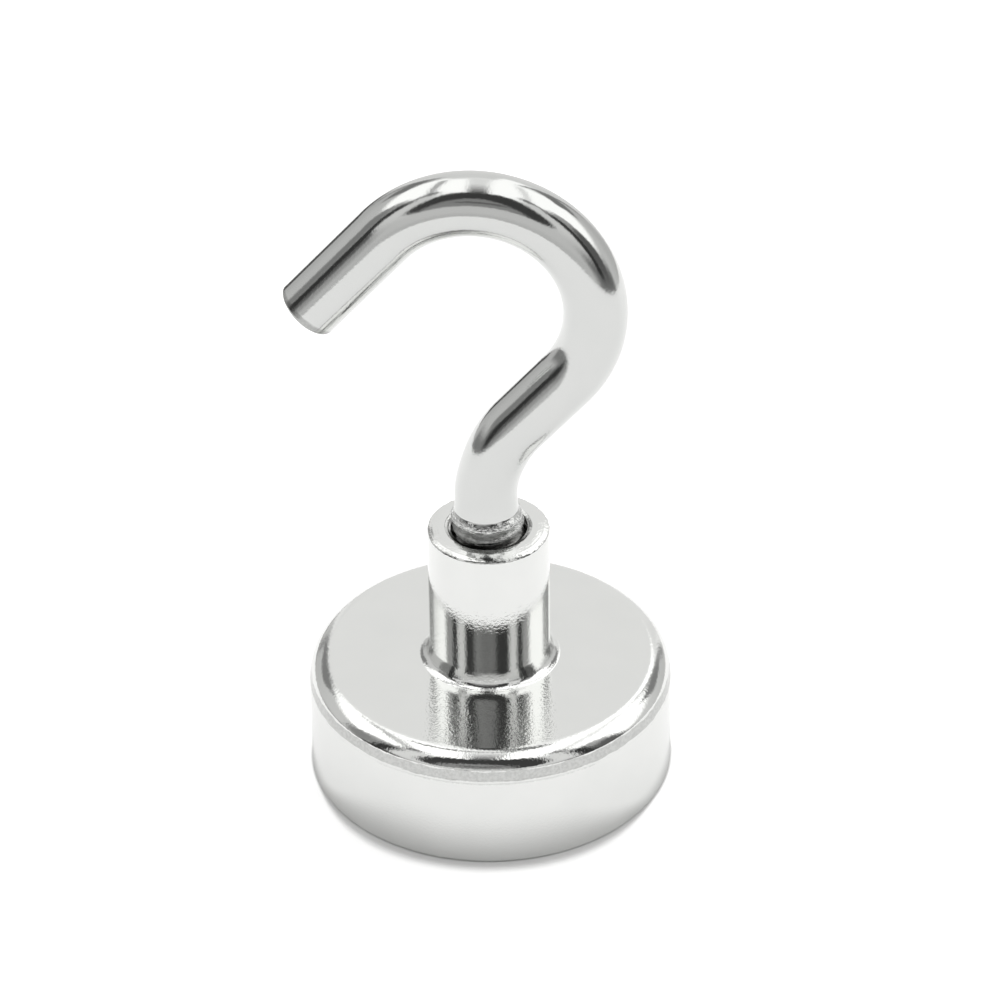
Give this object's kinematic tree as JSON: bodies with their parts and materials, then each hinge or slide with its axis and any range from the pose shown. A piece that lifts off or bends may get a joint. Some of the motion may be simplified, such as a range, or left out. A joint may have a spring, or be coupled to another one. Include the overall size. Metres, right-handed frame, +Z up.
{
  "type": "magnetic hook",
  "caption": "Round steel pot magnet with a threaded neck and an open wire hook screwed into it, for hanging light things from a steel surface.",
  "frame": {"origin": "centre of the magnet's working face, where the part meets the steel it holds on to", "axes": "+Z up the axis of the neck, away from the working face; the hook lies in the XZ plane with its mouth towards -X"},
  "size_m": [0.0206, 0.02, 0.037],
  "materials": {
    "pot_nickel": "bright nickel plate on steel",
    "neck_nickel": "bright nickel plate on steel",
    "hook_nickel": "bright nickel plate on steel wire",
    "magnet_nickel": "satin nickel plate on a sintered magnet",
    "resin": "cured dark resin",
    "glue": "cured glue, out of sight"
  },
  "bodies": {
    "base": {"steel_pot": "pot_nickel", "threaded_neck": "neck_nickel", "magnet_disc": "magnet_nickel", "resin_ring": "resin", "glue_film": "glue"},
    "hook": {"hook": "hook_nickel"}
  },
  "joints": [
    {"name": "hook_turn", "type": "hinge", "parent": "base", "child": "hook", "pos_m": [0, 0, 0.01525], "axis": [0, 0, 1], "range_deg": [0, 2700]}
  ]
}
